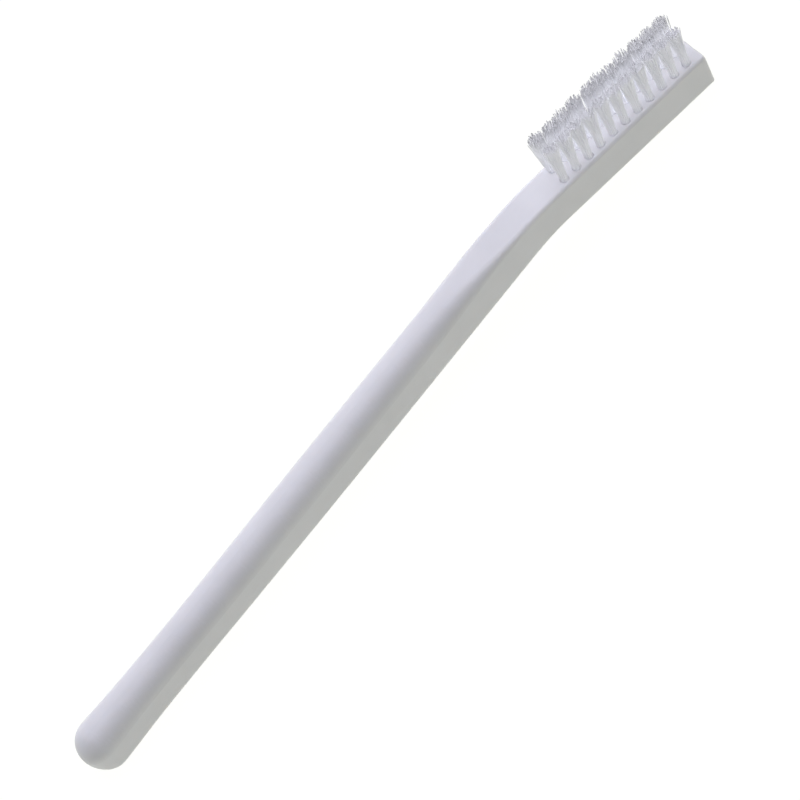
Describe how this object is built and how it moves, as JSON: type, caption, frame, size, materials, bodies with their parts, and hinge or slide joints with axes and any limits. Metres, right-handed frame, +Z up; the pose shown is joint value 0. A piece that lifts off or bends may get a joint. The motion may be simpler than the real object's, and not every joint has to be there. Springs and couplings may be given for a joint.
{
  "type": "toothbrush",
  "caption": "Slim one-piece toothbrush with a flat-backed rounded handle, an angled-back narrow square-ended head and two columns of straight filament tufts.",
  "frame": {"origin": "centre of the bottom of the bounding box: the brush lies on its back with the bristles up, touching the ground at the butt of the handle and at the back edge of the tip", "axes": "+X along the brush from the butt to the tip, +Y across it, +Z up, the side the bristles point to"},
  "size_m": [0.1518, 0.0076, 0.0216],
  "materials": {
    "handle_plastic": "satin white polypropylene moulding, slightly translucent",
    "filament": "natural white nylon filament, semi-matte",
    "anchor_metal": "plain flat wire"
  },
  "bodies": {
    "root": {"handle": "handle_plastic", "anchors": "anchor_metal", "tuft_a01": "filament", "tuft_a02": "filament", "tuft_a03": "filament", "tuft_a04": "filament", "tuft_a05": "filament", "tuft_a06": "filament", "tuft_a07": "filament", "tuft_a08": "filament", "tuft_a09": "filament", "tuft_a10": "filament", "tuft_a11": "filament", "tuft_b01": "filament", "tuft_b02": "filament", "tuft_b03": "filament", "tuft_b04": "filament", "tuft_b05": "filament", "tuft_b06": "filament", "tuft_b07": "filament", "tuft_b08": "filament", "tuft_b09": "filament", "tuft_b10": "filament", "tuft_b11": "filament"}
  },
  "joints": []
}
